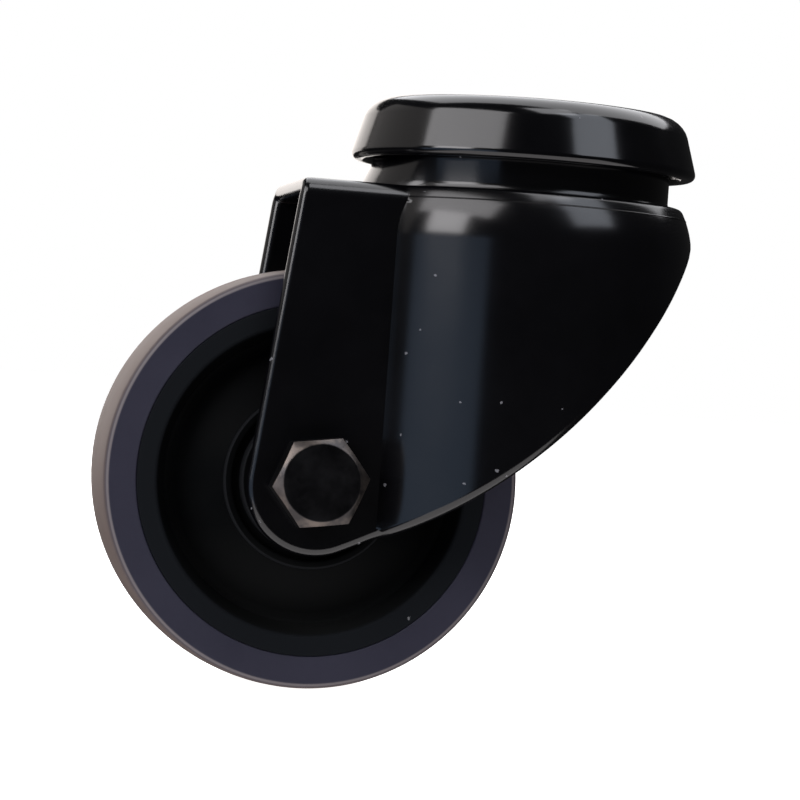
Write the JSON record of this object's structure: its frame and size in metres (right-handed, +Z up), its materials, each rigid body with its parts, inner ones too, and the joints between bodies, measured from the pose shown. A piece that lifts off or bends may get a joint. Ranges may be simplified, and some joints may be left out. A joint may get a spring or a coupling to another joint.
{
  "type": "bolt hole swivel castor",
  "caption": "Small swivel castor with a pressed black steel fork, a ball-raced round head with a through bolt hole, and a grey rubber-tyred plastic wheel on a hexagon bolt axle.",
  "frame": {"origin": "middle of the bolt hole at the head's top face", "axes": "+Z up along the swivel axis, Y along the wheel's axle, the wheel trails towards -X at rest"},
  "size_m": [0.0707, 0.0424, 0.0715],
  "materials": {
    "black_paint": "gloss black paint",
    "plated_steel": "zinc plated",
    "black_steel": "black plated",
    "nut_nylon": "satin nylon",
    "hub_plastic": "matte black",
    "tyre_rubber": "matte dark grey",
    "ball_steel": "polished"
  },
  "bodies": {
    "head": {"head_cap": "black_paint", "kingpin": "plated_steel", "lower_race": "plated_steel"},
    "fork_body": {"fork": "black_paint", "axle_bolt": "black_steel", "axle_nut": "black_steel", "nut_insert": "nut_nylon", "axle_tube": "plated_steel"},
    "wheel": {"wheel_hub": "hub_plastic", "tyre": "tyre_rubber"},
    "upper_balls": {"upper_ball_1": "ball_steel", "upper_ball_2": "ball_steel", "upper_ball_3": "ball_steel", "upper_ball_4": "ball_steel", "upper_ball_5": "ball_steel", "upper_ball_6": "ball_steel", "upper_ball_7": "ball_steel", "upper_ball_8": "ball_steel", "upper_ball_9": "ball_steel", "upper_ball_10": "ball_steel", "upper_ball_11": "ball_steel", "upper_ball_12": "ball_steel", "upper_ball_13": "ball_steel", "upper_ball_14": "ball_steel", "upper_ball_15": "ball_steel", "upper_ball_16": "ball_steel", "upper_ball_17": "ball_steel", "upper_ball_18": "ball_steel", "upper_ball_19": "ball_steel", "upper_ball_20": "ball_steel"},
    "lower_balls": {"lower_ball_1": "ball_steel", "lower_ball_2": "ball_steel", "lower_ball_3": "ball_steel", "lower_ball_4": "ball_steel", "lower_ball_5": "ball_steel", "lower_ball_6": "ball_steel", "lower_ball_7": "ball_steel", "lower_ball_8": "ball_steel", "lower_ball_9": "ball_steel", "lower_ball_10": "ball_steel", "lower_ball_11": "ball_steel", "lower_ball_12": "ball_steel", "lower_ball_13": "ball_steel", "lower_ball_14": "ball_steel", "lower_ball_15": "ball_steel"}
  },
  "joints": [
    {"name": "swivel", "type": "hinge", "parent": "head", "child": "fork_body", "pos_m": [0, 0, 0], "axis": [0, 0, 1], "continuous": true},
    {"name": "wheel_spin", "type": "hinge", "parent": "fork_body", "child": "wheel", "pos_m": [-0.0245, 0, -0.0465], "axis": [0, 1, 0], "continuous": true},
    {"name": "upper_ring_turn", "type": "hinge", "parent": "head", "child": "upper_balls", "pos_m": [0, 0, 0], "axis": [0, 0, 1], "continuous": true},
    {"name": "lower_ring_turn", "type": "hinge", "parent": "head", "child": "lower_balls", "pos_m": [0, 0, 0], "axis": [0, 0, 1], "continuous": true}
  ],
  "couplings": [
    {"joint": "upper_ring_turn", "follows": "swivel", "ratio": 0.5},
    {"joint": "lower_ring_turn", "follows": "swivel", "ratio": 0.5}
  ]
}
